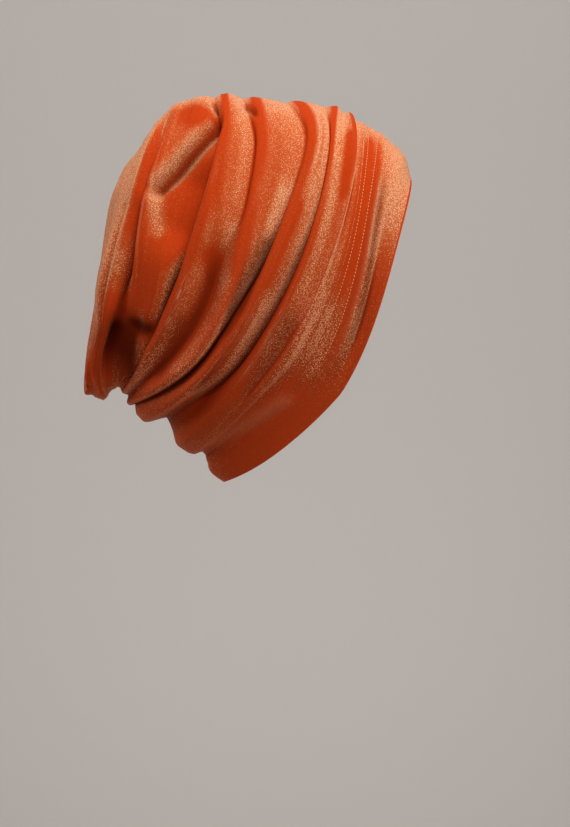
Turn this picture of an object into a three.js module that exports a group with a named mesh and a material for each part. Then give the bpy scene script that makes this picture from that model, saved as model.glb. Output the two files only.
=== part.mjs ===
// A slouchy velvet beanie, in the shape that it takes on a head.
//
// Millimetres, +Z up. The wearer faces +X and the wearer's left is +Y. The origin is where the
// top of the head bears on the inside of the crown. The beanie is a soft tube: it starts at the
// front edge round face and nape, runs up and back over the head in stacked folds, and ends in
// a closed pouch that hangs behind the head.
import * as THREE from "three";

// Driving sizes
const CROWN_CLOTH = 1.2; // wall of one ply of velvet, pile included
const HEM_CLOTH = 2.4; // wall of the turned-under hem, two plies
const SEAM_GAP = 0.3; // clear gap between the hem and the crown along the stitching
const FACETS_AROUND = 44; // facets round every ring of the tube
const RING_FULLNESS = 0.84; // 1 is an ellipse, less is squarer towards brow and nape

// The fold crests, from the front edge to the pouch. One row is one crest, a closed ring round the
// tube. Its places are [x, z]: top and low lie on the middle plane, above the head and behind the
// neck, and upper and lower lie one third and two thirds of the way down the side, where the ring
// is half[0] and half[1] away from the middle plane. hook swings the crest forwards at the shoulder
// of the head, and farShift moves it back along the wearer's left side, as two sides of a draped
// cloth differ. Behind each crest the cloth dips into a crease: dip is how deep and crease how far
// back, as a share of the way to the next crest, each on top, at the side and behind the neck.
// turns is the share of the way down the side where the crease crosses from side to neck.
const CRESTS = [
  { crest: "front_edge", top: [93, -45], upper: [76, -115], lower: [41, -207], low: [-46, -273],
    half: [67, 57], hook: 4, farShift: 0, dip: [0, 3, 1], crease: [0.5, 0.55, 0.5], turns: 0.6 },
  { crest: "hem_roll", top: [76, -16], upper: [61, -98], lower: [34, -190], low: [-56, -265],
    half: [71, 61], hook: 4, farShift: 0, dip: [0.5, 1, 1], crease: [0.5, 0.4, 0.5], turns: 0.6 },
  { crest: "hem_line", top: [59, -5], upper: [47, -96], lower: [11, -183], low: [-61, -251],
    half: [74, 64], hook: 0, farShift: 0, dip: [4, 2, 2], crease: [0.45, 0.45, 0.5], turns: 0.5 },
  { crest: "brow_fold", top: [49, 3], upper: [38, -88], lower: [-2, -180], low: [-69, -252],
    half: [77, 68], hook: 3, farShift: 1, dip: [5, 2, 1], crease: [0.5, 0.5, 0.5], turns: 0.6 },
  { crest: "first_fold", top: [38, 8], upper: [23, -88], lower: [-19, -176], low: [-79, -247],
    half: [80, 72], hook: -2, farShift: -3, dip: [5, 8, 10], crease: [0.4, 0.17, 0.6], turns: 0.7 },
  { crest: "second_fold", top: [8, 12], upper: [0, -86], lower: [-43, -175], low: [-107, -227],
    half: [82, 75], hook: 9, farShift: 1, dip: [6, 8, 7], crease: [0.3, 0.17, 0.74], turns: 0.5 },
  { crest: "third_fold", top: [-22, 15], upper: [-32, -93], lower: [-55, -167], low: [-118, -214],
    half: [81, 75], hook: 8, farShift: 4, dip: [6, 7, 5], crease: [0.5, 0.17, 0.55], turns: 0.45 },
  { crest: "fourth_fold", top: [-45, 18], upper: [-62, -72], lower: [-81, -142], low: [-122, -206],
    half: [77, 71], hook: 7, farShift: 1, dip: [8, 6, 0], crease: [0.55, 0.25, 0.3], turns: 0.5 },
  { crest: "back_panel", top: [-62, 16], upper: [-85, -73], lower: [-96, -135], low: [-124, -202],
    half: [73, 68], hook: 5, farShift: 0, dip: [1, 3, 0], crease: [0.5, 0.5, 0.5], turns: 0.5 },
  { crest: "back_lip", top: [-82, 10], upper: [-106, -75], lower: [-109, -127], low: [-128, -203],
    half: [67, 64], hook: 4, farShift: -2, dip: [1, 6, 1], crease: [0.5, 0.45, 0.5], turns: 0.5 },
  { crest: "pouch_front", top: [-96, -4], upper: [-115, -67], lower: [-132, -148], low: [-135, -211],
    half: [57, 54], hook: 1, farShift: 2, dip: [0, 0, 0], crease: [0.5, 0.5, 0.5], turns: 0.5 },
  { crest: "pouch_middle", top: [-110, -24], upper: [-128, -82], lower: [-140, -153], low: [-144, -208],
    half: [47, 45], hook: 0, farShift: 0, dip: [0, 0, 0], crease: [0.5, 0.5, 0.5], turns: 0.5 },
  { crest: "pouch_back", top: [-127, -52], upper: [-135, -96], lower: [-144, -157], low: [-151, -199],
    half: [30, 29], hook: 0, farShift: 0, dip: [0, 0, 0], crease: [0.5, 0.5, 0.5], turns: 0.5 },
  { crest: "pouch_tip", top: [-141, -128], upper: [-141, -128], lower: [-141, -128], low: [-141, -128],
    half: [0, 0], hook: 0, farShift: 0, dip: [0, 0, 0], crease: [0.5, 0.5, 0.5], turns: 0.5 },
];
const HEM_ROW = 2;
const TIP_ROW = CRESTS.length - 1;
const SHOULDER = 0.12; // share of the way down the side where the top of the head turns into it
const CROSSING = 0.25; // share of the way down the side over which a crease crosses over
const TUCK = 6; // how far the hem is drawn back between the jaw and the nape

// Soft dents pressed into both sides, from one place to another in side view, [x, z].
const DENTS = [
  { dent: "slanting_gutter", from: [-48, -14], to: [-92, -62], halfWidth: 8, depth: 4 },
  { dent: "side_hollow", from: [-62, -58], to: [-74, -80], halfWidth: 14, depth: 5 },
];

// Pleats that draw the pouch together towards its tip.
const PLEATS = 8;
const PLEAT_DEPTH = 3;
const PLEATS_FROM_ROW = 10;

// Stations along the tube from one crest to the next: shares of the way from the crest down to the
// crease, and from the crease up to the next crest. Where the cloth runs plain, two are enough.
const DOWN_STATIONS = [0, 0.55];
const UP_STATIONS = [0, 0.35, 0.7];
const PLAIN_STATIONS = [0, 0.5];

const { smoothstep, lerp, clamp } = THREE.MathUtils;

// A smooth curve through the values of neighbouring rows.
function through(before, start, end, after, share) {
  const startSlope = (end - before) / 2;
  const endSlope = (after - start) / 2;
  const squared = share * share;
  const cubed = squared * share;
  return start * (2 * cubed - 3 * squared + 1) + end * (3 * squared - 2 * cubed)
    + startSlope * (cubed - 2 * squared + share) + endSlope * (cubed - squared);
}

// One column of the crest table at any place along the tube: 3.5 is halfway from row 3 to row 4.
function column(along, read) {
  const row = Math.min(Math.floor(along), TIP_ROW - 1);
  const at = (index) => read(CRESTS[clamp(index, 0, TIP_ROW)]);
  return through(at(row - 1), at(row), at(row + 1), at(row + 2), along - row);
}

// The cubic through four values at 0, 1/3, 2/3 and 1.
function throughFour(values, share) {
  const [a, b, c, d] = values;
  const thirds = 3 * share;
  return (a * (thirds - 1) * (thirds - 2) * (thirds - 3)) / -6
    + (b * thirds * (thirds - 2) * (thirds - 3)) / 2
    + (c * thirds * (thirds - 1) * (thirds - 3)) / -2
    + (d * thirds * (thirds - 1) * (thirds - 2)) / 6;
}

// Share of the way down the side at a turn round the ring: 0 at the top, 1 at the low point.
const wayDown = (turn) => (1 - Math.cos(turn)) / 2;

// How much of its hook a crest takes at a turn: none on the middle plane, most at the shoulder.
function hooked(turn) {
  const rise = Math.sin(turn / 2) ** 2;
  const fall = Math.cos(turn / 2) ** 2;
  return (8 * rise * fall ** 7) / (7 / 8) ** 7;
}

// The smooth form under the folds, where every crest runs at full height.
function envelope(along, turn) {
  const down = wayDown(turn);
  const place = (axis) => throughFour(
    ["top", "upper", "lower", "low"].map((name) => column(along, (row) => row[name][axis])),
    down,
  );
  const atThird = Math.sin(Math.acos(1 / 3)) ** RING_FULLNESS;
  const halves = [0, 1].map((level) => column(along, (row) => row.half[level]));
  const half = lerp(halves[0], halves[1], 3 * down - 1) / atThird;
  const side = Math.sin(turn);
  const swing = hooked(turn) * column(along, (row) => row.hook);
  const shift = Math.max(side, 0) * column(along, (row) => row.farShift);
  const fading = 1 - smoothstep(along, HEM_ROW, HEM_ROW + 2);
  const tuck = TUCK * Math.sin(Math.PI * clamp(3 * down - 2, 0, 1)) * fading;
  return new THREE.Vector3(
    place(0) + swing - shift - tuck,
    half * Math.sign(side) * Math.abs(side) ** RING_FULLNESS,
    place(1),
  );
}

// The outward direction of a surface at one place.
function outward(surface, along, turn) {
  const step = 0.02;
  const back = surface(along + step, turn).sub(surface(along - step, turn));
  const round = surface(along, turn + step).sub(surface(along, turn - step));
  return round.cross(back).normalize();
}

// Where the crease behind a crest lies at a turn round the ring.
function creaseAt(row, turn) {
  const { crease: [onTop, atSide, atNeck], turns } = CRESTS[row];
  const down = wayDown(turn);
  const before = lerp(onTop, atSide, smoothstep(down, 0, SHOULDER));
  return lerp(before, atNeck, smoothstep(down, turns, turns + CROSSING));
}

// How deep the cloth dips below the crests.
function dipAt(along, turn) {
  const row = Math.min(Math.floor(along), TIP_ROW - 1);
  const share = along - row;
  const [onTop, atSide, atNeck] = CRESTS[row].dip;
  const height = Math.cos(turn);
  const deep = atSide + ((onTop - atNeck) / 2) * height
    + ((onTop + atNeck) / 2 - atSide) * height * height;
  const crease = creaseAt(row, turn);
  const towardsCrease = share < crease ? share / crease : (1 - share) / (1 - crease);
  return deep * towardsCrease * towardsCrease;
}

// How deep the dents press the cloth in at a point of the envelope, on both sides of the head.
function dented(point) {
  let depth = 0;
  for (const { from, to, halfWidth, depth: deepest } of DENTS) {
    const start = new THREE.Vector2(...from);
    const line = new THREE.Vector2(...to).sub(start);
    const offset = new THREE.Vector2(point.x, point.z).sub(start);
    const share = clamp(offset.dot(line) / line.lengthSq(), 0, 1);
    const away = offset.sub(line.multiplyScalar(share)).length() / halfWidth;
    const onSide = smoothstep(Math.abs(point.y), 15, 45);
    depth += deepest * onSide * Math.exp(-away * away);
  }
  return depth;
}

// How deep the pleats of the pouch go: most halfway to its tip.
function pleated(along, turn) {
  const share = Math.max(along - PLEATS_FROM_ROW, 0) / (TIP_ROW - PLEATS_FROM_ROW);
  const wave = (1 - Math.cos(PLEATS * turn)) / 2;
  return PLEAT_DEPTH * Math.sin(Math.PI * share) * wave;
}

// The outer face of the cloth.
function cloth(along, turn) {
  const point = envelope(along, turn);
  const deep = dipAt(along, turn) + dented(point) + pleated(along, turn);
  return point.addScaledVector(outward(envelope, along, turn), -deep);
}

// The rings of the outer face between two rows, as functions of the turn.
function stations(firstRow, lastRow) {
  const found = [];
  for (let row = firstRow; row < lastRow; row++) {
    if (Math.max(...CRESTS[row].dip) === 0) {
      PLAIN_STATIONS.forEach((share) => found.push(() => row + share));
    } else {
      DOWN_STATIONS.forEach((share) => found.push((turn) => row + share * creaseAt(row, turn)));
      UP_STATIONS.forEach((share) => found.push((turn) => row + lerp(creaseAt(row, turn), 1, share)));
    }
  }
  return found;
}

// The points of the outer face, ring by ring.
function outerRings(places) {
  const turns = Array.from({ length: FACETS_AROUND }, (_, i) => (i / FACETS_AROUND) * 2 * Math.PI);
  return places.map((along) => turns.map((turn) => cloth(along(turn), turn)));
}

// The outward direction at every point of the folded face, from its neighbours on the rings.
function ringNormals(rings) {
  const last = rings.length - 1;
  return rings.map((ring, j) => ring.map((point, i) => {
    const ahead = rings[Math.min(j + 1, last)][i];
    const behind = rings[Math.max(j - 1, 0)][i];
    const right = ring[(i + 1) % ring.length];
    const left = ring[(i + ring.length - 1) % ring.length];
    return right.clone().sub(left).cross(ahead.clone().sub(behind)).normalize();
  }));
}

// A closed cloth wall: outer face, inner face, and the edges that join them. A tube that ends in
// a tip closes there with a fan of facets, and an open one with a flat edge.
function wallGeometry(outer, normals, thickness, closedTip) {
  const inner = outer.map((ring, j) => ring.map(
    (point, i) => point.clone().addScaledVector(normals[j][i], -thickness),
  ));
  const positions = [];
  const triangle = (a, b, c) => positions.push(...a.toArray(), ...b.toArray(), ...c.toArray());
  const quad = (a, b, c, d) => {
    if (a.distanceTo(c) < b.distanceTo(d)) {
      triangle(a, b, c);
      triangle(a, c, d);
    } else {
      triangle(a, b, d);
      triangle(b, c, d);
    }
  };
  const last = outer.length - 1;
  const lastRing = closedTip ? last - 1 : last;
  for (let i = 0; i < FACETS_AROUND; i++) {
    const next = (i + 1) % FACETS_AROUND;
    for (let j = 0; j < lastRing; j++) {
      quad(outer[j][i], outer[j][next], outer[j + 1][next], outer[j + 1][i]);
      quad(inner[j][i], inner[j + 1][i], inner[j + 1][next], inner[j][next]);
    }
    quad(outer[0][i], inner[0][i], inner[0][next], outer[0][next]);
    if (closedTip) {
      triangle(outer[lastRing][i], outer[lastRing][next], outer[last][0]);
      const innerTip = outer[last][0].clone().setX(outer[last][0].x + thickness);
      triangle(inner[lastRing][i], innerTip, inner[lastRing][next]);
    } else {
      quad(outer[last][i], outer[last][next], inner[last][next], inner[last][i]);
    }
  }
  const geometry = new THREE.BufferGeometry();
  geometry.setAttribute("position", new THREE.Float32BufferAttribute(positions, 3));
  geometry.computeVertexNormals();
  return geometry;
}

// The first ring drawn back along the cloth, which opens the gap beside the stitching.
function drawnBack(rings, gap) {
  const [first, second, ...rest] = rings;
  const moved = first.map((point, i) => {
    const step = second[i].clone().sub(point);
    return point.clone().addScaledVector(step.normalize(), gap);
  });
  return [moved, second, ...rest];
}

const velvet = new THREE.MeshStandardMaterial({
  color: 0xd9491a, roughness: 0.8, metalness: 0, name: "velvet",
});
const hemVelvet = new THREE.MeshStandardMaterial({
  color: 0xe06a32, roughness: 0.75, metalness: 0, name: "hem_velvet",
});

const hemStations = stations(0, HEM_ROW);
const crownStations = stations(HEM_ROW, TIP_ROW);
const rings = outerRings([...hemStations, ...crownStations, () => TIP_ROW]);
const normals = ringNormals(rings);
const hemRing = hemStations.length;

const hemBand = new THREE.Mesh(
  wallGeometry(rings.slice(0, hemRing + 1), normals.slice(0, hemRing + 1), HEM_CLOTH, false),
  hemVelvet,
);
hemBand.name = "hem_band";

const crown = new THREE.Mesh(
  wallGeometry(drawnBack(rings.slice(hemRing), SEAM_GAP), normals.slice(hemRing), CROWN_CLOTH, true),
  velvet,
);
crown.name = "crown";

const beanie = new THREE.Group();
beanie.name = "slouchy_beanie";
beanie.add(crown, hemBand);

export default beanie;
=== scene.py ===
# %% [markdown]
# # A slouchy velvet beanie
#
# The beanie is a soft tube of orange stretch velvet. It starts at a stitched hem round its opening,
# climbs in stacked folds and ends in a pouch at the back. This lesson rolls the tube from flat
# rectangles of cloth, folds it by a short table, and gives it a velvet that shines on its slopes.
# The CAD model supplies the frame: the same origin, the same axes, the same size.

import math
from collections import namedtuple

import bpy
import numpy as np
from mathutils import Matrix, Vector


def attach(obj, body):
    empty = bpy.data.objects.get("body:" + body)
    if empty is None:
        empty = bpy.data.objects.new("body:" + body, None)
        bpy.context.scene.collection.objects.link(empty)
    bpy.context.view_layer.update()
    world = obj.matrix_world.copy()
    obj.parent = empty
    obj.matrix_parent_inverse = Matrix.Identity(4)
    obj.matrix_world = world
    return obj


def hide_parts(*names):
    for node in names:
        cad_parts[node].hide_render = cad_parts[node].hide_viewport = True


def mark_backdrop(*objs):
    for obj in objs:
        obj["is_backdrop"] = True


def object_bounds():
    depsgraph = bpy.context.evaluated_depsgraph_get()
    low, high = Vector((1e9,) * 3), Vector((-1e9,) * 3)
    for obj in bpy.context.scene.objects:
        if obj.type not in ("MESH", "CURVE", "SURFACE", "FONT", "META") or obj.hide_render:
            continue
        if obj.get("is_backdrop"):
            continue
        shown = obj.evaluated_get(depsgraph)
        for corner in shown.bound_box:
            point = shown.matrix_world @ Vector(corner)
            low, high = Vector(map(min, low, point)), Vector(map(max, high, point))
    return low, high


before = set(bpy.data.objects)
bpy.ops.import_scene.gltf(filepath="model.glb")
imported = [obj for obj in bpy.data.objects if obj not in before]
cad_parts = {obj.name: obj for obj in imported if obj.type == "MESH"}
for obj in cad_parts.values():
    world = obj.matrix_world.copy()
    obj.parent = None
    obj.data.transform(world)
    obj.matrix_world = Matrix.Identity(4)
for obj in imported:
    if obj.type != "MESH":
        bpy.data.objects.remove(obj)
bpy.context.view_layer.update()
MM = 0.001

# %% [markdown]
# ## The fold table
#
# Draped cloth is easiest to describe by its crests, the lines along which it stands highest. Each
# row is one crest, a ring round the tube. Its places are (x, z) in millimetres: on top, a third and
# two thirds of the way down the side, and low at the back. `half` is half the ring's width at the
# two side places, `hook` pushes the ring forwards near the top, and `far` moves it back on the far
# side alone.
#
# Behind each crest the cloth dips into a crease. `dip` says how deep, and `crease` how far back as a
# share of the way to the next crest, each on top, at the side and low at the back. From `turns` of
# the way down, the crease moves over to its low place. A crease that lies close to a crest makes a
# steep lip there, which is what gives velvet folds their thin bright edges. Along some lips the finish
# paints a thin highlight as well.

# %% Crests from the hem to the tip of the pouch
PLACES = ("top", "upper", "lower", "low")
COLUMNS = (*PLACES, "half", "hook", "far", "dip", "crease", "turns")
CRESTS = {
    "front_edge": ((93, -45), (76, -115), (41, -207), (-46, -273), (67, 57), 4, 0,
                   (-4, 5, 2), (0.5, 0.65, 0.5), 0.6),
    "hem_roll": ((76, -16), (61, -98), (34, -190), (-56, -265), (71, 61), 4, 0,
                 (0.5, 1, 1), (0.5, 0.4, 0.5), 0.6),
    "hem_line": ((59, -5), (47, -96), (11, -183), (-61, -251), (74, 64), 0, 0,
                 (11, 0, 0), (0.8, 0.75, 0.5), 0.5),
    "brow_fold": ((49, 3), (38, -88), (-2, -180), (-69, -252), (77, 68), 3, 1,
                  (5, 0, 0), (0.5, 0.5, 0.5), 0.6),
    "first_fold": ((38, 8), (23, -88), (-19, -176), (-79, -247), (80, 72), -2, -3,
                   (4, 8, 10), (0.35, 0.06, 0.6), 0.7),
    "second_fold": ((10, 12), (-5, -86), (-43, -175), (-107, -227), (82, 75), 12, 1,
                    (5, 8, 4), (0.3, 0.12, 0.8), 0.42),
    "third_fold": ((-22, 15), (-32, -93), (-55, -167), (-118, -214), (81, 75), 8, 4,
                   (5, 10, 2.5), (0.35, 0.1, 0.5), 0.25),
    "fourth_fold": ((-45, 18), (-62, -72), (-81, -142), (-122, -206), (77, 71), 7, 1,
                    (6, 6, 0), (0.45, 0.1, 0.3), 0.5),
    "back_panel": ((-62, 16), (-85, -73), (-96, -135), (-124, -202), (73, 68), 5, 0,
                   (1, 0.5, 0), (0.5, 0.5, 0.5), 0.5),
    "back_lip": ((-82, 10), (-106, -75), (-109, -127), (-128, -203), (67, 64), 4, -2,
                 (1, 8, 1), (0.5, 0.12, 0.5), 0.5),
    "pouch_front": ((-96, -4), (-115, -67), (-132, -148), (-135, -211), (57, 54), 1, 2,
                    (0, 2, 0), (0.5, 0.3, 0.5), 0.5),
    "pouch_middle": ((-110, -24), (-128, -82), (-140, -153), (-144, -208), (47, 45), 0, 0,
                     (0, 0, 0), (0.5, 0.5, 0.5), 0.5),
    "pouch_back": ((-127, -52), (-135, -96), (-144, -157), (-151, -199), (30, 29), 0, 0,
                   (0, 0, 0), (0.5, 0.5, 0.5), 0.5),
    "pouch_tip": ((-141, -128), (-141, -128), (-141, -128), (-141, -128), (0, 0), 0, 0,
                  (0, 0, 0), (0.5, 0.5, 0.5), 0.5),
}
NAMES = list(CRESTS)
TIP = len(NAMES) - 1
HEM, FIRST, FOURTH, BACK_LIP, POUCH = (
    NAMES.index(name)
    for name in ("hem_line", "first_fold", "fourth_fold", "back_lip", "pouch_front")
)
TABLE = {
    name: np.array([row[k] for row in CRESTS.values()], float)
    for k, name in enumerate(COLUMNS)
}
print(len(NAMES), "crests from", NAMES[0], "to", NAMES[-1])

# %% [markdown]
# ## Smooth steps
#
# Cloth has no jumps, so every change in this lesson is eased in or out. `ease` climbs from 0 to 1
# between two values, `during` climbs and falls again, `bump` rises round one value and `blend` mixes
# two amounts. `way_down` says how far down a ring a place lies, from 0 on top to 1 low at the back.
# All of them take whole arrays, so a sheet of many thousand points is shaped in one call.

# %% Easing helpers
def ease(x, start, end):
    t = np.clip((x - start) / (end - start), 0, 1)
    return t * t * (3 - 2 * t)


def during(x, rise, fall):
    return ease(x, *rise) * (1 - ease(x, *fall))


def bump(x, middle, width):
    return np.exp(-(((x - middle) / width) ** 2))


def blend(a, b, t):
    return a + (b - a) * t


def unit(v):
    return v / np.maximum(np.linalg.norm(v, axis=-1, keepdims=True), 1e-9)


def way_down(turn):
    return (1 - np.cos(turn)) / 2


print("a quarter turn is", round(way_down(math.pi / 2), 3), "of the way down")

# %% [markdown]
# ## From table to surface
#
# A place on the cloth has two coordinates: `along`, the row number from hem to tip, and `turn`, the
# angle round the ring, which is below zero on the side that the camera sees. The rows are joined by a
# smooth spline, each ring is a cubic through its four places, and the width follows a slightly
# squared ellipse. `TUCK` draws the low part of the hem back by a few millimetres.

# %% The smooth surface under the folds
FULLNESS = 0.84
HOOK_PEAK = 1 / 8
TUCK = 6.0


def row_of(along):
    return np.clip(np.floor(along + 1e-9).astype(int), 0, TIP - 1)


def column(along, values):
    row = row_of(along)
    t = along - row
    before, start, end, after = (values[np.clip(row + k, 0, TIP)] for k in (-1, 0, 1, 2))
    return (
        start * (2 * t**3 - 3 * t**2 + 1)
        + end * (3 * t**2 - 2 * t**3)
        + (end - before) / 2 * (t**3 - 2 * t**2 + t)
        + (after - start) / 2 * (t**3 - t**2)
    )


def envelope(along, turn):
    down = way_down(turn)
    k = 3 * down
    weights = (
        (k - 1) * (k - 2) * (k - 3) / -6,
        k * (k - 2) * (k - 3) / 2,
        k * (k - 1) * (k - 3) / -2,
        k * (k - 1) * (k - 2) / 6,
    )
    x, z = (
        sum(w * column(along, TABLE[p][:, axis]) for w, p in zip(weights, PLACES))
        for axis in (0, 1)
    )
    upper, lower = (column(along, TABLE["half"][:, side]) for side in (0, 1))
    third = math.sin(math.acos(1 / 3)) ** FULLNESS
    half = blend(upper, lower, k - 1) / third
    side = np.sin(turn)
    hooked = down / HOOK_PEAK * ((1 - down) / (1 - HOOK_PEAK)) ** (1 / HOOK_PEAK - 1)
    x = x + hooked * column(along, TABLE["hook"])
    x = x - np.maximum(side, 0) * column(along, TABLE["far"])
    x = x - TUCK * np.sin(math.pi * np.clip(k - 2, 0, 1)) * (1 - ease(along, HEM, HEM + 2))
    return np.stack([x, half * np.sign(side) * np.abs(side) ** FULLNESS, z], -1)


sample = envelope(np.array([float(FIRST)]), np.array([-math.pi / 2]))
print("side of the first fold, mm:", sample.round(1).tolist())

# %% [markdown]
# ## Creases and lips
#
# Between two crests the cloth falls as a parabola into the crease and climbs out as another, so the
# crests are round and the creases sharp. On the shorter side the flank is also pushed out over the
# crease, which makes it a lip that casts a shadow. On top the folds are pulled flatter. They come to
# their full depth only down the side, and the two folds in `STARTS` later than the others.

# %% Folding the cloth into its creases
STEP = 0.02
SHOULDER = 0.12
CROSSING = 0.25
FOLD = 1.3
FLAT_TOP = 0.4
USUAL_START = 0.28
STARTS = {"third_fold": 0.38, "fourth_fold": 0.44}
DEEPENS = (-0.13, 0.17)
HEM_FLATTENS = (0.5, 0.72)
LIP = 2.5
LIP_FROM_DEPTH = 6
PARABOLA = 2.0
OPEN_FLANK = 1.7
Fold = namedtuple("Fold", "dip lean toward deep falling")


def by_row(values, rows, usual):
    return np.array([values.get(name, usual) for name in NAMES])[rows]


def directions(along, turn):
    back = envelope(np.minimum(along + STEP, TIP), turn)
    back = back - envelope(np.maximum(along - STEP, 0), turn)
    ring = envelope(along, turn + STEP) - envelope(along, turn - STEP)
    return unit(np.cross(ring, back)), unit(back)


def crease_at(row, turn):
    on_top, at_side, at_low = (TABLE["crease"][row, k] for k in range(3))
    down = way_down(turn)
    before = blend(on_top, at_side, ease(down, 0, SHOULDER))
    return blend(before, at_low, ease((down - TABLE["turns"][row]) / CROSSING, 0, 1))


def depth_at(row, turn):
    on_top, at_side, at_low = (TABLE["dip"][row, k] for k in range(3))
    height = np.cos(turn)
    deep = at_side + (on_top - at_low) / 2 * height
    deep = deep + ((on_top + at_low) / 2 - at_side) * height**2
    down = way_down(turn)
    started = ease(down - by_row(STARTS, row, USUAL_START), *DEEPENS)
    deep = deep * np.where(row > HEM, FOLD * blend(FLAT_TOP, 1, started), 1)
    return deep * np.where(row < HEM, 1 - ease(down, *HEM_FLATTENS), 1)


def folded(along, turn):
    row = row_of(along)
    share = along - row
    deep = depth_at(row, turn)
    crease = crease_at(row, turn)
    falling = share < crease
    toward = np.where(falling, share / crease, (1 - share) / (1 - crease))
    steep = np.where(falling, 1 - 2 * crease, 2 * crease - 1)
    lean = LIP * np.clip(steep, 0, 1) * np.sin(math.pi * toward)
    lean = lean * np.minimum(deep / LIP_FROM_DEPTH, 1)
    opened = blend(PARABOLA, OPEN_FLANK, ease(1 - np.cos(turn), 0, 0.3))
    sharp = toward ** np.where(steep > 0, PARABOLA, opened)
    soft = np.sin(math.pi / 2 * toward) ** 2
    flank = blend(soft, sharp, np.clip(2 * abs(steep), 0, 1))
    return Fold(deep * flank, np.where(falling, lean, -lean), toward, deep, falling)


deepest = depth_at(np.arange(TIP), np.full(TIP, -math.pi / 2)).round(1)
print("creases half way down the side, mm:", dict(zip(NAMES, deepest.tolist())))

# %% [markdown]
# ## Dents and bands of painted sheen and shade
#
# Slack cloth also sinks in soft hollows that no crest describes. Each dent follows a line from `start`
# to `end`, both (x, z) in millimetres, and fades over `half_width`. Its `depth` is below zero for a
# ridge. `shade` darkens the pile in it, a painted shade where the dent gets little light, `brushed`
# takes away the pile's lean, and `rows` keeps it between two rows of the fold table.
#
# A band of painted sheen and shade moves no cloth: where `lift` is above zero it paints a paler sheen,
# where it is below a painted shade that is fuller in colour. The lines are drawn in the side view, so
# dents and bands lie on both sides and fade out towards the middle of the top.

# %% Tables of dents and of painted sheen and shade
Dent = namedtuple("Dent", "start end half_width depth shade brushed rows")
DENTS = {
    "slanting_gutter": Dent((-49, -10), (-93, -57), 6, 8, 0.7, 1.0, (7, 10)),
    "side_hollow": Dent((-66, -56), (-76, -84), 19, 11, 0.0, 1.0, (7, 10)),
    "pouch_groove": Dent((-113, -73), (-119, -125), 8, 2, 0.0, 0.6, (7, 13)),
    "pouch_hollow": Dent((-122, -164), (-124, -204), 11, 10, 0.95, 0.8, (7, 13)),
    "pouch_low": Dent((-134, -166), (-132, -204), 10, 1, 0.5, 0.6, (9.3, 13)),
    "curl_pocket": Dent((-111, -157), (-102, -161), 6, 4, 0.9, 0.8, (7, 10)),
    "first_hollow": Dent((2, -163), (-20, -208), 10, 2, 0.45, 0.0, (3, 4)),
    "second_hollow": Dent((-40, -156), (-62, -202), 9, 2, 0.45, 0.3, (4, 5)),
    "second_valley": Dent((-13, -100), (-46, -160), 7, 1, 0.75, 0.0, (5.08, 5.95)),
    "third_valley": Dent((-76, -158), (-95, -192), 6, 0.5, 0.5, 0.0, (6.1, 7)),
    "seam_ridge": Dent((-60, -249), (0, -212), 5, -0.8, 0.0, 0.0, (1.1, 3.2)),
    "third_pocket": Dent((-28, 7), (-21, 0), 2.5, 3, 0.6, 1.0, (6, 7)),
    "fourth_pocket": Dent((-53, 8), (-50, 2), 2.5, 3, 0.6, 1.0, (7, 8)),
}
SheenShadeBand = namedtuple("SheenShadeBand", "start end half_width lift rows")
# Painted sheen where `lift` is above zero, painted shade where it is below.
SHEEN_AND_SHADE_BANDS = {
    "gutter_light": SheenShadeBand((-57, -7), (-96, -51), 4.5, 0.4, (7, 10)),
    "gutter_edge": SheenShadeBand((-52, -17), (-85, -54), 2.2, 0.4, (7, 10)),
    "gutter_end": SheenShadeBand((-96, -64), (-92, -92), 5.5, 0.4, (7, 9.02)),
    "back_top": SheenShadeBand((-84, 10), (-60, -3), 11, -0.5, (7, 10)),
    "side_light": SheenShadeBand((-80, -98), (-84, -108), 8, -0.3, (7, 10)),
    "fold_sparkle": SheenShadeBand((-43, -128), (-78, -190), 9, 0.4, (5.95, 6.4)),
    "fold_shade": SheenShadeBand((-60, -110), (-92, -195), 12, -0.6, (6.3, 7)),
    "fold_light": SheenShadeBand((-31, -16), (-36, -70), 5, 0.1, (6.1, 6.5)),
    "third_light": SheenShadeBand((-37, -86), (-46, -126), 6, 0.35, (6.03, 6.6)),
    "second_light": SheenShadeBand((-1, -58), (-12, -86), 7, 0.3, (5.05, 5.6)),
    "first_valley": SheenShadeBand((10, -74), (-8, -128), 7, -0.3, (4.05, 4.9)),
    "pouch_shade": SheenShadeBand((-124, -142), (-134, -198), 9, -0.6, (9.1, 13)),
    "pouch_light": SheenShadeBand((-124, -106), (-140, -158), 6, 0.35, (9.3, 13)),
    "pouch_strip": SheenShadeBand((-118, -95), (-122, -115), 7, 0.2, (9, 10)),
    "back_shade": SheenShadeBand((-90, -103), (-101, -159), 10, -0.35, (7, 9.2)),
    "brow_light": SheenShadeBand((82, -35), (77, -86), 8, 0.2, (-1, 1)),
    "brow_low": SheenShadeBand((47, -18), (43, -62), 4.5, -0.4, (2.5, 4.05)),
    "stitch_band": SheenShadeBand((61, -24), (45, -114), 6, -0.3, (1.15, 2)),
    "first_shade": SheenShadeBand((4, -148), (-28, -202), 12, -0.25, (3, 4)),
    "second_shade": SheenShadeBand((-15, -130), (-48, -192), 10, -0.25, (4, 5)),
    "ridge_low": SheenShadeBand((60, -112), (56, -140), 5, -0.3, (0.5, 1.7)),
    "hem_light": SheenShadeBand((29, -148), (20, -192), 9, 0.35, (1, 2.1)),
    "seam_light": SheenShadeBand((-58, -248), (-5, -215), 6, 0.15, (1.1, 3)),
}
print(len(DENTS), "dents and", len(SHEEN_AND_SHADE_BANDS), "strokes")

# %% [markdown]
# ## Pressing the lines in
#
# The distance from a point to its nearest place on the line decides how much of a mark it gets: a bell
# curve as wide as the mark, so that nothing has an edge. One function serves dents and strokes, and is
# told which of their numbers to spread along the line.

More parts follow.
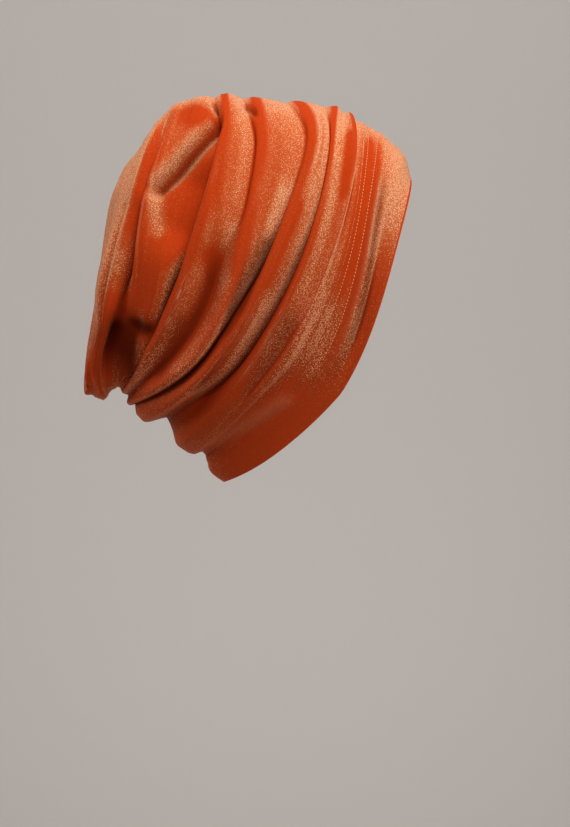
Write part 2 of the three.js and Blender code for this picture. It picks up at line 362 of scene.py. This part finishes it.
# %% Spreading a number along a line
MIDDLE_FADES = (15, 45)
ROW_MARGIN = 0.1


def near_line(points, mark):
    line = np.subtract(mark.end, mark.start)
    offset = points[..., [0, 2]] - mark.start
    share = np.clip(offset @ line / (line @ line), 0, 1)
    away = np.linalg.norm(offset - share[..., None] * line, axis=-1)
    return ease(abs(points[..., 1]), *MIDDLE_FADES) * bump(away, 0, mark.half_width)


def between(along, rows):
    first, last = rows
    return during(along, (first, first + ROW_MARGIN), (last - ROW_MARGIN, last))


def pressed(marks, key, points, along):
    return [
        getattr(mark, key) * near_line(points, mark) * between(along, mark.rows)
        for mark in marks.values()
    ]


middle = np.array([[-71.0, -60.0, -70.0]])
hollow = sum(pressed(DENTS, "depth", middle, np.array([8.5])))
print("side hollow in its middle, mm deep:", hollow.round(1).tolist())

# %% [markdown]
# ## Small relief
#
# The rest of the relief is small. Pleats gather the cloth towards the tip of the pouch. Long faint
# wrinkles run beside the folds: two waves that never keep step, in slow patches. The needle draws the
# hem in along its two rows of stitches, and the turned edge inside the hem shows as a low ridge with
# a valley in front of it.

# %% Pleats, wrinkles and the hem's ridge
PLEATS = 8
PLEAT_DEPTH = 3.0
WRINKLE = 0.25
STITCH_ROWS = (1.78, 1.4)
SEAM_DEPTH = 0.45
SEAM_WIDTH = 0.09
PUCKERS = 50
RIDGE_ROW = 1.13
RIDGE_WIDTH = 0.1
RIDGE_HEIGHT = 1.0
VALLEY_ROWS = (0.95, 0.84)
VALLEY_WIDTH = 0.15
VALLEY_DEPTH = 1.2


def pleated(along, turn):
    share = np.maximum(along - POUCH, 0) / (TIP - POUCH)
    return PLEAT_DEPTH * np.sin(math.pi * share) * (1 - np.cos(PLEATS * turn)) / 2


def wrinkled(along, turn):
    sway = 0.25 * np.sin(2 * turn + 1.3 * along) + 0.15 * np.sin(5 * turn - along)
    long_wave = 1.8 * np.sin(2 * math.pi * (1.45 * along + sway))
    short_wave = np.sin(2 * math.pi * (3.1 * along - 1.7 * sway) + 2)
    patches = 0.5 + 0.5 * np.sin(3 * turn + 2.1 * along) * np.sin(1.7 * turn - 0.8 * along)
    return WRINKLE * (long_wave + short_wave) * patches * ease(along, HEM + 1, HEM + 2)


def stitched(along, turn):
    drawn = sum(bump(along, row, SEAM_WIDTH) for row in STITCH_ROWS)
    return SEAM_DEPTH * drawn * (0.8 + 0.2 * np.cos(PUCKERS * turn))


def hemmed(along, turn):
    down = way_down(turn)
    reach = during(down, (0.1, 0.25), (0.52, 0.7))
    beside = blend(*VALLEY_ROWS, ease(down, 0.25, 0.5))
    return bump(along, beside, VALLEY_WIDTH) * reach, bump(along, RIDGE_ROW, RIDGE_WIDTH) * reach


print("pleats:", PLEATS, "of", PLEAT_DEPTH, "mm, ridge:", RIDGE_HEIGHT, "mm")

# %% [markdown]
# ## All the relief together
#
# The whole cloth is the smooth surface, moved in by the sum of the reliefs and along by the lean of
# the lips. Wrinkles calm down inside a crease, where the cloth is pinched.

# %% One function for the folded cloth
def cloth(along, turn):
    points = envelope(along, turn)
    outward, back = directions(along, turn)
    fold = folded(along, turn)
    valley, ridge = hemmed(along, turn)
    depth = fold.dip + sum(pressed(DENTS, "depth", points, along)) + pleated(along, turn)
    depth = depth + (1 - fold.toward**2) * wrinkled(along, turn) + stitched(along, turn)
    depth = depth + VALLEY_DEPTH * valley - RIDGE_HEIGHT * ridge
    return points - outward * depth[..., None] + back * fold.lean[..., None]


moved = cloth(np.array([FIRST + 0.1]), np.array([-math.pi / 2]))
print("behind the first fold, mm:", moved.round(1).tolist())

# %% [markdown]
# ## Marks for the finish
#
# The finish has to know more than the shape, so a few numbers go with every point. `hollow` says how
# far it lies down in a crease, a dent or the hem's valley, where little light comes in, and so how much
# painted shade its colour gets. `crest` holds the sheen back on the backs of the folds, so that they
# keep the full colour in every view. Thin rims along some lips, the hem's edge and two ridges get a
# painted highlight, `combed` marks a flank with fine streaks, and the last mark sums the bands of
# painted sheen and shade. How wide and how strong they are differs from fold to fold, so short tables
# by row name hold what differs from the usual value.

# %% Hollows, crests, rims and combed flanks
USUAL_REACH = 0.5
REACHES = {"first_fold": 0.35, "second_fold": 0.3}
SHADOWS = {"first_fold": 0.5, "third_fold": 0.65, "back_lip": 0.4}
TOP_SHADOW = 0.12
# Strengths of the painted rim highlights, the hem ridge's and the seam ridge's.
RIM_HIGHLIGHTS = {"front_edge": 0.5, "pouch_front": 0.6, "back_lip": 0.3}
RIM_WIDTH = 0.03
RIDGE_HIGHLIGHT = 0.2
SEAM_HIGHLIGHT = 0.24
VALLEY_SHADE = 0.6
COMBED = {"first_fold": 1.0, "second_fold": 0.4, "third_fold": 1.0, "fourth_fold": 1.0}


# Painted shade down the creases: the colour darkens where little light comes in.
def shaded(along, turn, fold):
    row = row_of(along)
    down = way_down(turn)
    reach = blend(0.8, by_row(REACHES, row, USUAL_REACH), ease(down, 0.25, 0.5))
    hollow = ease(fold.toward, np.where(fold.falling, 0.75, reach), 0.95) * ease(fold.deep, 1, 8)
    started = ease(down - by_row(STARTS, row, USUAL_START), 0, 0.16)
    return hollow * blend(TOP_SHADOW, 1, started) * by_row(SHADOWS, row, 1)


# Painted: the sheen is held back on the backs of the folds, so that they keep the full colour in every
# view.
def crested(along, turn, fold):
    behind = 1 - ease(along - row_of(along), 0.12, 0.24)
    before = 1 - ease(fold.toward, 0.08, 0.3)
    on_top = np.where(fold.falling, behind, before) * ease(np.cos(turn), 0.35, 0.75)
    band = np.where(fold.falling, 0.5, 1 - ease(fold.toward, 0.1, 0.34))
    band = 0.9 * band * during(way_down(turn), (0.12, 0.3), (0.7, 0.85))
    rows = during(along, (HEM + 0.5, HEM + 1), (FOURTH + 0.1, FOURTH + 0.4))
    return np.maximum(on_top, band) * rows


# Painted highlight: a thin pale line along the rims of the rows listed above, away from the top.
def rimmed(along, turn):
    nearest = np.clip(np.rint(along).astype(int), 0, TIP)
    down = way_down(turn)
    reach = ease(down, 0.05, 0.3) * np.where(nearest < HEM, 1, 1 - ease(down, 0.45, 0.6))
    return by_row(RIM_HIGHLIGHTS, nearest, 0) * bump(along, nearest, RIM_WIDTH) * reach


def streaked(along, turn, fold):
    flank = np.where(fold.falling, 0, 1 - ease(fold.toward, 0.15, 0.4))
    side = during(way_down(turn), (0.52, 0.6), (0.7, 0.8))
    return by_row(COMBED, np.rint(along).astype(int), 0) * flank * side


def marks_of(along, turn):
    points = envelope(along, turn)
    fold = folded(along, turn)
    valley, ridge = hemmed(along, turn)
    # Painted shade: dents, creases and the hem's valley darken the colour through `hollow`.
    shades = pressed(DENTS, "shade", points, along)
    shades += [shaded(along, turn, fold), VALLEY_SHADE * valley * (1 - ridge)]
    # Painted highlights along the hem's ridge and the seam ridge.
    edges = RIDGE_HIGHLIGHT * ridge + SEAM_HIGHLIGHT * near_line(points, DENTS["seam_ridge"])
    return {
        "hollow": np.maximum.reduce(shades),
        "crest": crested(along, turn, fold),
        "rim_highlight": np.maximum(rimmed(along, turn), edges),
        "combed": streaked(along, turn, fold),
        # the bands' painted sheen and shade, summed
        "painted_sheen_and_shade": sum(pressed(SHEEN_AND_SHADE_BANDS, "lift", points, along)),
    }


creased = marks_of(np.array([FIRST + 0.06]), np.array([-math.pi / 2]))
print("in the first crease:", {key: round(float(value[0]), 2) for key, value in creased.items()})

# %% [markdown]
# ## The lie of the pile
#
# The pile of velvet isn't upright. It leans along the cloth, here towards the hem where the lean is
# above zero and towards the tip where it is below, and that decides which slopes shine. The lean
# differs over the beanie as a hand left it: strong on the sides of the crown, weak low at the back,
# turned round on top of the pouch, and none where a dent is brushed.

# %% How far and which way the pile leans
ROW_STEP = 0.01
BACK_LEAN = 0.4


def pile_lean(along, turn):
    down = way_down(turn)
    front_edge = 0.5 * (1 - ease(along, 0.6, 0.95)) * (1 - ease(down, 0.25, 0.45))
    upper_part = -0.85 * ease(along, 1.0, 1.3) * (1 - ease(down, 0.42, 0.56))
    crown_part = 1.35 * ease(along, HEM, HEM + 0.4) - 0.5 * ease(along, FIRST - 0.6, FIRST - 0.1)
    low_back = ease(down, 0.6, 0.85) * (1 - ease(along, FIRST, FIRST + 1))
    lean = (1 + front_edge + upper_part + crown_part) * blend(1, BACK_LEAN, low_back)
    pouch_top = ease(along, POUCH - 0.15, POUCH) * (1 - ease(down, 0.5, 0.72))
    return lean - ease(along, BACK_LIP + 0.05, BACK_LIP + 0.2) - pouch_top


def nap_of(along, turn):
    towards_hem = unit(cloth(along - ROW_STEP, turn) - cloth(along + ROW_STEP, turn))
    brushed = np.maximum.reduce(pressed(DENTS, "brushed", envelope(along, turn), along))
    return towards_hem * (pile_lean(along, turn) * (1 - brushed))[:, None]


print("lean on the first fold:", pile_lean(float(FIRST), -math.pi / 2).round(2))

# %% [markdown]
# ## Rings for a sheet
#
# A crease needs more rings of points than a plain stretch of cloth. Each stretch between two crests is
# cut into rings that fall to the crease and rings that climb from it, and the climbing ones crowd
# towards the next crest. A ring follows its crease round the beanie, so that the sharp line never runs
# across a face.

# %% Spacing the rings
AROUND = 190
CROWDING = 1.3


def stations(first, last, falling, climbing, plain):
    found = []
    for row in range(first, last):
        if TABLE["dip"][row].max() == 0:
            found += [(row, "plain", k / plain) for k in range(plain)]
        else:
            found += [(row, "fall", k / falling) for k in range(falling)]
            found += [(row, "climb", k / climbing) for k in range(climbing)]
    return found + [(last - 1, "plain", 1.0)]


def place_along(station, turn):
    row, part, share = station
    crease = crease_at(np.full(turn.shape, row), turn)
    climb = 1 - (1 - share) ** CROWDING
    along = {"plain": share + 0 * turn, "fall": share * crease, "climb": blend(crease, 1, climb)}
    return row + along[part]


crown_rings = stations(HEM, TIP, falling=11, climbing=15, plain=12)
hem_rings = stations(0, HEM, falling=12, climbing=14, plain=12)
print("rings:", len(crown_rings), "for the crown,", len(hem_rings), "for the hem")

# %% [markdown]
# ## Rolling a sheet
#
# Each piece starts as a flat grid, like the cloth on the cutting table. Every point of the grid then
# goes to its place on the folded surface, and the two ends meet low at the back, where they are welded
# into a tube. The grid keeps its flat UV map, so that fine streaks can follow the cloth, and the marks
# and the lie of the pile are stored on the points as attributes, which a shader can read.

# %% Crown and hem
WELD = 1e-5


def roll_sheet(name, rings):
    bpy.ops.mesh.primitive_grid_add(
        x_subdivisions=AROUND, y_subdivisions=len(rings) - 1, size=1, calc_uvs=True
    )
    sheet = bpy.context.object
    sheet.name = name
    mesh = sheet.data
    flat = np.empty(len(mesh.vertices) * 3)
    mesh.vertices.foreach_get("co", flat)
    flat = flat.reshape(-1, 3) + 0.5
    ring = np.rint(flat[:, 1] * (len(rings) - 1)).astype(int)
    turn = (flat[:, 0] * 2 - 1) * math.pi
    along = np.empty(len(ring))
    for k, station in enumerate(rings):
        along[ring == k] = place_along(station, turn[ring == k])
    mesh.vertices.foreach_set("co", (cloth(along, turn) * MM).ravel())
    nap = mesh.attributes.new("nap", "FLOAT_VECTOR", "POINT")
    nap.data.foreach_set("vector", nap_of(along, turn).ravel())
    for key, values in marks_of(along, turn).items():
        mesh.attributes.new(key, "FLOAT", "POINT").data.foreach_set("value", values)
    bpy.ops.object.mode_set(mode="EDIT")
    bpy.ops.mesh.select_all(action="SELECT")
    bpy.ops.mesh.remove_doubles(threshold=WELD)
    bpy.ops.mesh.normals_make_consistent(inside=False)
    bpy.ops.object.mode_set(mode="OBJECT")
    bpy.ops.object.shade_smooth()
    area = sum(p.area for p in mesh.polygons)
    print(name, len(mesh.polygons), "faces, cloth area", round(area, 4), "square metres")
    return sheet


crown = roll_sheet("crown_velvet", crown_rings)
hem = roll_sheet("hem_velvet", hem_rings)

# %% [markdown]
# ## Thickness
#
# Real velvet is about a millimetre thick, and the hem is two plies. Solidify gives the sheets that
# thickness towards the inside, so the shape seen from outside stays. The new inner faces take the
# next material slot, because the back of a velvet is a plain matt knit. Two empty slots wait for the
# two finishes.

# %% Plies
CROWN_PLY = 1.2
HEM_PLY = 2 * CROWN_PLY
SLOTS = 2
for sheet, ply in ((crown, CROWN_PLY), (hem, HEM_PLY)):
    for slot in range(SLOTS):
        sheet.data.materials.append(None)
    plies = sheet.modifiers.new("ply", "SOLIDIFY")
    plies.thickness = ply * MM
    plies.offset = -1
    plies.material_offset = 1
    bpy.context.view_layer.objects.active = sheet
    bpy.ops.object.modifier_apply(modifier=plies.name)
    print(sheet.name, "wall", ply, "mm,", len(sheet.data.polygons), "faces")

# %% [markdown]
# ## The turned edge
#
# The hem is folded under, so its edge is round. A bevel takes the corners off the cut rim, and only
# those, because the angle limit leaves the flat cloth alone.

# %% Rounding the hem
turned = hem.modifiers.new("turned_edge", "BEVEL")
turned.width = 1.0 * MM
turned.segments = 3
turned.limit_method = "ANGLE"
turned.angle_limit = math.radians(60)
bpy.context.view_layer.objects.active = hem
bpy.ops.object.modifier_apply(modifier=turned.name)
print("hem with a round edge:", len(hem.data.polygons), "faces")

# %% [markdown]
# ## Stitches
#
# A twin needle leaves two rows of thread round the hem. One small bead is stretched into a stitch and
# copied along each row at an even pitch, turned to lie along the row and sunk in the pile. It has few
# faces, because it is repeated hundreds of times. Low at the back the stitches sink out of sight.

# %% One stitch, copied along two rows
PITCH = 2.6
STITCH = (0.9, 0.34, 0.3)
PROUD = 0.15
SINKS = 0.8
SINKS_BETWEEN = (0.6, 0.72)
SAMPLES = 4001
TURN_STEP = 0.002
bpy.ops.mesh.primitive_uv_sphere_add(segments=8, ring_count=6, radius=1)
stitches = bpy.context.object
stitches.name = "stitches"
bead = np.array([v.co for v in stitches.data.vertices]) * STITCH
bead_faces = [list(f.vertices) for f in stitches.data.polygons]
points, faces = [], []
for row in STITCH_ROWS:
    turn = np.linspace(-math.pi, math.pi, SAMPLES)
    line = cloth(np.full(turn.shape, row), turn)
    length = np.r_[0, np.cumsum(np.linalg.norm(np.diff(line, axis=0), axis=1))]
    count = int(length[-1] / PITCH)
    at = np.interp((np.arange(count) + 0.5) / count * length[-1], length, turn)
    along = np.full(at.shape, row)
    middle = cloth(along, at)
    run = unit(cloth(along, at + TURN_STEP) - middle)
    back = cloth(along + ROW_STEP, at) - middle
    out = unit(np.cross(run, back))
    across = np.cross(out, run)
    raised = PROUD - SINKS * ease(way_down(at), *SINKS_BETWEEN)
    for place, *axes in zip(middle + raised[:, None] * out, run, across, out):
        faces += [[k + len(points) * len(bead) for k in f] for f in bead_faces]
        points.append(place + bead @ np.array(axes))
mesh = bpy.data.meshes.new("stitches")
mesh.from_pydata(np.concatenate(points) * MM, [], faces)
stitches.data = mesh
bpy.ops.object.shade_smooth()
print("stitches:", len(points), "of", PITCH, "mm pitch,", len(faces), "faces")

# %% [markdown]
# ## Shader arithmetic
#
# A finish is arithmetic on patterns. This small class lets sockets be added and multiplied like
# numbers, so that a formula in the script reads like a formula. Each sum adds its own Math node.

# %% Sockets that can be added and multiplied
class Wire:
    def __init__(self, tree, socket=None):
        self.tree = tree
        self.socket = socket

    def node(self, kind, settings=None, inputs=None, output=0):
        made = self.tree.nodes.new("ShaderNode" + kind)
        for key, value in (settings or {}).items():
            setattr(made, key, value)
        for key, value in (inputs or {}).items():
            if isinstance(value, Wire):
                self.tree.links.new(value.socket, made.inputs[key])
            else:
                made.inputs[key].default_value = value
        return Wire(self.tree, made.outputs[output])

    def math(self, operation, *values):
        return self.node("Math", {"operation": operation}, dict(enumerate(values)))

    def colour(self, red, green, blue):
        made = self.node("RGB")
        made.socket.default_value = (red, green, blue, 1)
        return made

    def mix(self, other, factor):
        inputs = {"Factor": factor, 6: self, 7: other}
        return self.node("Mix", {"data_type": "RGBA"}, inputs, 2)

    def ramp(self, start, end):
        inputs = {"Value": self, "From Min": start, "From Max": end}
        return self.node("MapRange", {"interpolation_type": "SMOOTHSTEP"}, inputs)

    def __add__(self, other):
        return self.math("ADD", self, other)

    def __sub__(self, other):
        return self.math("SUBTRACT", self, other)

    def __rsub__(self, other):
        return self.math("SUBTRACT", other, self)

    def __mul__(self, other):
        return self.math("MULTIPLY", self, other)

    __radd__ = __add__
    __rmul__ = __mul__


def new_finish(name):
    material = bpy.data.materials.new(name)
    material.use_nodes = True
    return material, material.node_tree.nodes["Principled BSDF"]


print("operators of a wire: +, - and *")

# %% [markdown]
# ## The fibres of the velvet
#
# Velvet is a short pile standing on a knit. Looked at along the fibres, light falls between them and
# the colour is deep and full. Looked at across them, their sides shine pale. So the finish asks how
# the fibres face the viewer, and not how the surface does. The stored lie of the pile is added to the
# surface normal, and Layer Weight measures how that faces. The upward part of the normal is made
# smaller first, so that the tops follow the lie of the pile more than the surface. The bands of
# painted sheen and shade are added to the answer.
#
# The pile also splits into tufts, so noise roughens it, and round Voronoi cells a little under a
# millimetre wide make single tufts sparkle, some more than others.

# %% Where the pile shines and where it sparkles
TUFTS_PER_METRE = 1500.0
SPARKLES_PER_METRE = 1200.0
LEAN = 0.7
LESS_UPWARD = (1, 1, 0.55)
velvet, surface = new_finish("velvet")
w = Wire(velvet.node_tree)
place = w.node("TexCoord", output=3)
# The marks carry painted light: shade in hollows, highlights on rims, and the bands' sheen and shade.
hollow, crest, rim_highlight, painted_sheen_and_shade, combed = (
    w.node("Attribute", {"attribute_name": name}, output=2)
    for name in ("hollow", "crest", "rim_highlight", "painted_sheen_and_shade", "combed")
)
height = w.node("SeparateXYZ", inputs={0: place}, output=2)
# Painted shade: `low` and `bottom` darken the layers and hold back their pale tips towards the bottom,
# where less light reaches.
low = height.ramp(-0.05, -0.2)
bottom = height.ramp(-0.17, -0.225)

tufts = w.node("TexNoise", inputs={"Vector": place, "Scale": TUFTS_PER_METRE, "Detail": 1.0})
cells = {"Vector": place, "Scale": SPARKLES_PER_METRE}
chance = w.node("SeparateColor", inputs={0: w.node("TexVoronoi", inputs=cells, output=1)})
sparkle = (1 - w.node("TexVoronoi", inputs=cells).ramp(0.1, 0.75)) * (0.4 + 0.6 * chance)

nap = w.node("Attribute", {"attribute_name": "nap"}, output=1)
normal = w.node("NewGeometry", output=1)
normal = w.node("VectorMath", {"operation": "MULTIPLY"}, {0: normal, 1: LESS_UPWARD})
fibres = w.node("VectorMath", {"operation": "MULTIPLY_ADD"}, {0: nap, 1: (LEAN,) * 3, 2: normal})
fibres = w.node("VectorMath", {"operation": "NORMALIZE"}, {0: fibres})
# The bands' painted sheen and shade is added to how far the fibres face away.
facing = painted_sheen_and_shade + w.node("LayerWeight", inputs={"Blend": 0.5, "Normal": fibres}, output=1)
print("fibres:", len(velvet.node_tree.nodes), "nodes")

# %% [markdown]
# ## Golden slopes and pale tips
#
# Two masks come from that. `shine` is the soft gold of the slopes. `tips` are the pale ends of the
# fibres, broken up by the sparkle and held back low down, a painted shade where less light comes.
# Thin rims get a painted highlight of their own in the same pale layer. On the combed flanks a noise
# that is stretched on the cloth's flat map draws fine hairs. The backs of the folds, where `crest` is
# high, have their sheen painted out and keep the full colour.

# %% Masks for the two upper layers
HAIRS = 800
HAIR_SLANT = 260
HAIR_BREAKS = 60
# The sheen is painted out where `crest` is high.
shine = facing.ramp(0.03, 0.42) * 0.95 * (1 - crest)
tilted = facing + (sparkle - 0.35) * (0.5 + 0.4 * low)
tips = tilted.ramp(0.18 + 0.24 * low, 0.72 + 0.1 * low) * (0.25 + 1.15 * sparkle) * (1 - crest)
# Painted highlight on the rims, and painted shade that holds the tips back at the bottom.
tips = w.math("MAXIMUM", tips * (1 - 0.75 * bottom), rim_highlight * (0.35 + 0.75 * sparkle))
uv = w.node("UVMap")
round_ring = w.node("SeparateXYZ", inputs={0: uv})
along_cloth = w.node("SeparateXYZ", inputs={0: uv}, output=1)
slanting = along_cloth * HAIRS + round_ring * HAIR_SLANT
hairs = w.node("CombineXYZ", inputs={0: slanting, 1: round_ring * HAIR_BREAKS})
hairs = w.node("TexNoise", inputs={"Vector": hairs, "Scale": 1.0, "Detail": 0.0}).ramp(0.5, 0.66)
tips = w.math("MAXIMUM", tips, hairs * combed * 0.45)
print("masks:", len(velvet.node_tree.nodes), "nodes")

# %% [markdown]
# ## Three layers of velvet
#
# The pile is a full orange, its slopes are gold and its tips peach. Low down the pile and the gold
# turn darker and the peach redder, a painted shade where less light reaches, and in a hollow all three
# turn nearly black, a painted shade where little light comes in. Each is a Principled shader of its
# own, the paler the smoother, and two Mix Shaders lay them over each other by the masks.

# %% Colours and layers
SHEEN_TINT = (1.0, 0.6, 0.35, 1)
pile = w.colour(0.56, 0.052, 0.006).mix(w.colour(0.48, 0.039, 0.004), tufts.ramp(0.4, 0.62))
# Painted shade towards the bottom: the pile darkens here, the gold below darkens and the peach turns
# redder.
pile = pile.mix(w.colour(0.44, 0.045, 0.0085), low * 0.8)
# Painted shade in creases, dents and the hem's valley, for the pile here and the gold and peach below.
pile = pile.mix(w.colour(0.04, 0.0024, 0.0008), hollow * 0.93)
gold = w.colour(0.58, 0.105, 0.022).mix(w.colour(0.37, 0.046, 0.008), low)
gold = gold.mix(w.colour(0.05, 0.007, 0.0025), hollow * 0.9)
peach = w.colour(0.82, 0.45, 0.25).mix(w.colour(0.90, 0.38, 0.19), low)
peach = peach.mix(w.colour(0.10, 0.02, 0.008), hollow * 0.9)
grain = w.node("Bump", inputs={"Strength": 0.5, "Distance": 0.0008, "Height": tufts})


def lobe(base, roughness, specular):
    return w.node("BsdfPrincipled", inputs={
        "Base Color": base,
        "Normal": grain,
        "Roughness": roughness,
        "Specular IOR Level": specular,
        "Specular Tint": SHEEN_TINT,
    })


finish = w.node("MixShader", inputs={0: shine, 1: lobe(pile, 0.7, 0.06), 2: lobe(gold, 0.6, 0.1)})
finish = w.node("MixShader", inputs={0: tips, 1: finish, 2: lobe(peach, 0.5, 0.25)})
velvet.node_tree.nodes.remove(surface)
shown = velvet.node_tree.nodes["Material Output"].inputs["Surface"]
velvet.node_tree.links.new(finish.socket, shown)
print("velvet:", len(velvet.node_tree.nodes), "nodes")

# %% [markdown]
# ## The back of the cloth
#
# Inside, the velvet shows its ground: a fine matt knit in a duller orange. Its loops are too small to
# model, so noise stands for them, both in the colour and in a shallow bump.

# %% Knit ground
LOOPS_PER_METRE = 900.0
ground, surface = new_finish("knit_ground")
w = Wire(ground.node_tree)
place = w.node("TexCoord", output=3)
loops = w.node("TexNoise", inputs={"Vector": place, "Scale": LOOPS_PER_METRE, "Detail": 1.0})
knit = w.colour(0.42, 0.075, 0.018).mix(w.colour(0.55, 0.13, 0.04), loops.ramp(0.4, 0.65))
relief = w.node("Bump", inputs={"Strength": 0.3, "Distance": 0.0004, "Height": loops})
ground.node_tree.links.new(knit.socket, surface.inputs["Base Color"])
ground.node_tree.links.new(relief.socket, surface.inputs["Normal"])
surface.inputs["Roughness"].default_value = 0.9
surface.inputs["Specular IOR Level"].default_value = 0.15
print("knit ground:", len(ground.node_tree.nodes), "nodes")

# %% [markdown]
# ## The thread
#
# The thread is a smooth polyester a shade paler than the pile, so one colour and a lower roughness do.

# %% Thread
thread, surface = new_finish("thread")
surface.inputs["Base Color"].default_value = (0.80, 0.32, 0.12, 1)
surface.inputs["Roughness"].default_value = 0.45
print("thread:", len(thread.node_tree.nodes), "nodes")

# %% [markdown]
# ## Putting the pieces on the frame
#
# The sheets stand for the two CAD nodes and ride on the one body, and the stitches ride with them.
# Each sheet takes the velvet and the knit ground into its two slots, and the CAD node that it
# stands for is hidden.

# %% Bodies and slots
for sheet, node, slot in ((crown, "crown", "velvet"), (hem, "hem_band", "hem_velvet")):
    sheet.data.materials[0] = velvet
    sheet.data.materials[1] = ground
    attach(sheet, "root")
    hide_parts(node)

stitches.data.materials.append(thread)
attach(stitches, "root")
print("on the frame:", crown.name, hem.name, stitches.name)

# %% [markdown]
# ## The backdrop
#
# A plain pale wall stands behind the beanie and a floor lies well below it, so that the beanie hangs
# free in front of them.

# %% Wall and floor
BACKDROP = 8
WALL_Y = 1.6
FLOOR_Z = -0.9
bpy.ops.mesh.primitive_plane_add(
    size=BACKDROP, location=(0, WALL_Y, 0), rotation=(math.pi / 2, 0, 0)
)
wall = bpy.context.object
wall.name = "backdrop_wall"
bpy.ops.object.transform_apply(location=True, rotation=True, scale=True)
bpy.ops.mesh.primitive_plane_add(size=BACKDROP, location=(0, 0, FLOOR_Z))
floor = bpy.context.object
floor.name = "backdrop_floor"
bpy.ops.object.transform_apply(location=True, rotation=True, scale=True)
paper, surface = new_finish("pale_paper")
surface.inputs["Base Color"].default_value = (0.60, 0.57, 0.55, 1)
surface.inputs["Roughness"].default_value = 0.9
for part in (wall, floor):
    part.data.materials.append(paper)
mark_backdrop(wall, floor)
print("backdrop:", wall.name, floor.name)

# %% [markdown]
# ## Light
#
# Velvet needs large soft lamps, or its sparkle turns to noise. The key hangs above on the camera's
# side, a little to the front, and leaves the low folds in shade. A weak fill stands lower in front, and
# a rim lamp behind picks out the pouch. Two washes light the backdrop.

# %% Lamps
Lamp = namedtuple("Lamp", "place aim size power tint")
LAMPS = {
    "key_softbox": Lamp((0.4, -0.85, 1.25), (0, 0, -0.12), 0.8, 28, (1, 0.97, 0.93)),
    "fill_softbox": Lamp((1.2, -1.2, 0.2), (0, 0, -0.18), 0.9, 7, (1, 0.95, 0.9)),
    "rim_softbox": Lamp((-1.5, -0.1, 0.3), (-0.1, 0, -0.15), 0.6, 9, (1, 0.96, 0.92)),
    "wall_wash": Lamp((0, 0.6, 1.6), (0, 1.6, -0.3), 1.5, 7, (1, 0.98, 0.96)),
    "floor_wash": Lamp((0, 1.0, -0.85), (0, 1.6, -0.8), 1.0, 1.5, (1, 0.98, 0.96)),
}
for name, lamp in LAMPS.items():
    bpy.ops.object.light_add(type="AREA", location=lamp.place)
    made = bpy.context.object
    made.name = name
    made.data.size = lamp.size
    made.data.energy = lamp.power
    made.data.color = lamp.tint
    x, y, z = np.subtract(lamp.aim, lamp.place)
    made.rotation_euler = (math.atan2(math.hypot(x, y), -z), 0, math.atan2(-x, y))

world = bpy.data.worlds.new("studio")
world.use_nodes = True
world.node_tree.nodes["Background"].inputs["Color"].default_value = (0.9, 0.86, 0.83, 1)
world.node_tree.nodes["Background"].inputs["Strength"].default_value = 0.1
bpy.context.scene.world = world
bpy.context.scene.view_settings.view_transform = "Standard"
print("lamps:", len(LAMPS))

# %% [markdown]
# ## Camera
#
# The camera looks level at the beanie's side from two metres away. Its lens is worked out from the
# size that a pixel of the picture has on the beanie.

# %% A level view of the side
MM_PER_PIXEL = 0.75
PICTURE_HEIGHT = 827
SENSOR = 24
DISTANCE = 2.0
LEVEL = -0.2216
bpy.ops.object.camera_add(location=(0, -DISTANCE, LEVEL), rotation=(math.pi / 2, 0, 0))
camera = bpy.context.object
camera.data.sensor_fit = "VERTICAL"
camera.data.sensor_height = SENSOR
camera.data.lens = SENSOR * DISTANCE / (PICTURE_HEIGHT * MM_PER_PIXEL * MM)
bpy.context.scene.camera = camera
print("lens", round(camera.data.lens, 1), "mm")

# %% [markdown]
# ## Size
#
# The box round the finished beanie is printed in metres, to set beside the size of its CAD model.

# %% Size
low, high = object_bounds()
print("finished box, metres:", [round(b - a, 4) for a, b in zip(low, high)])
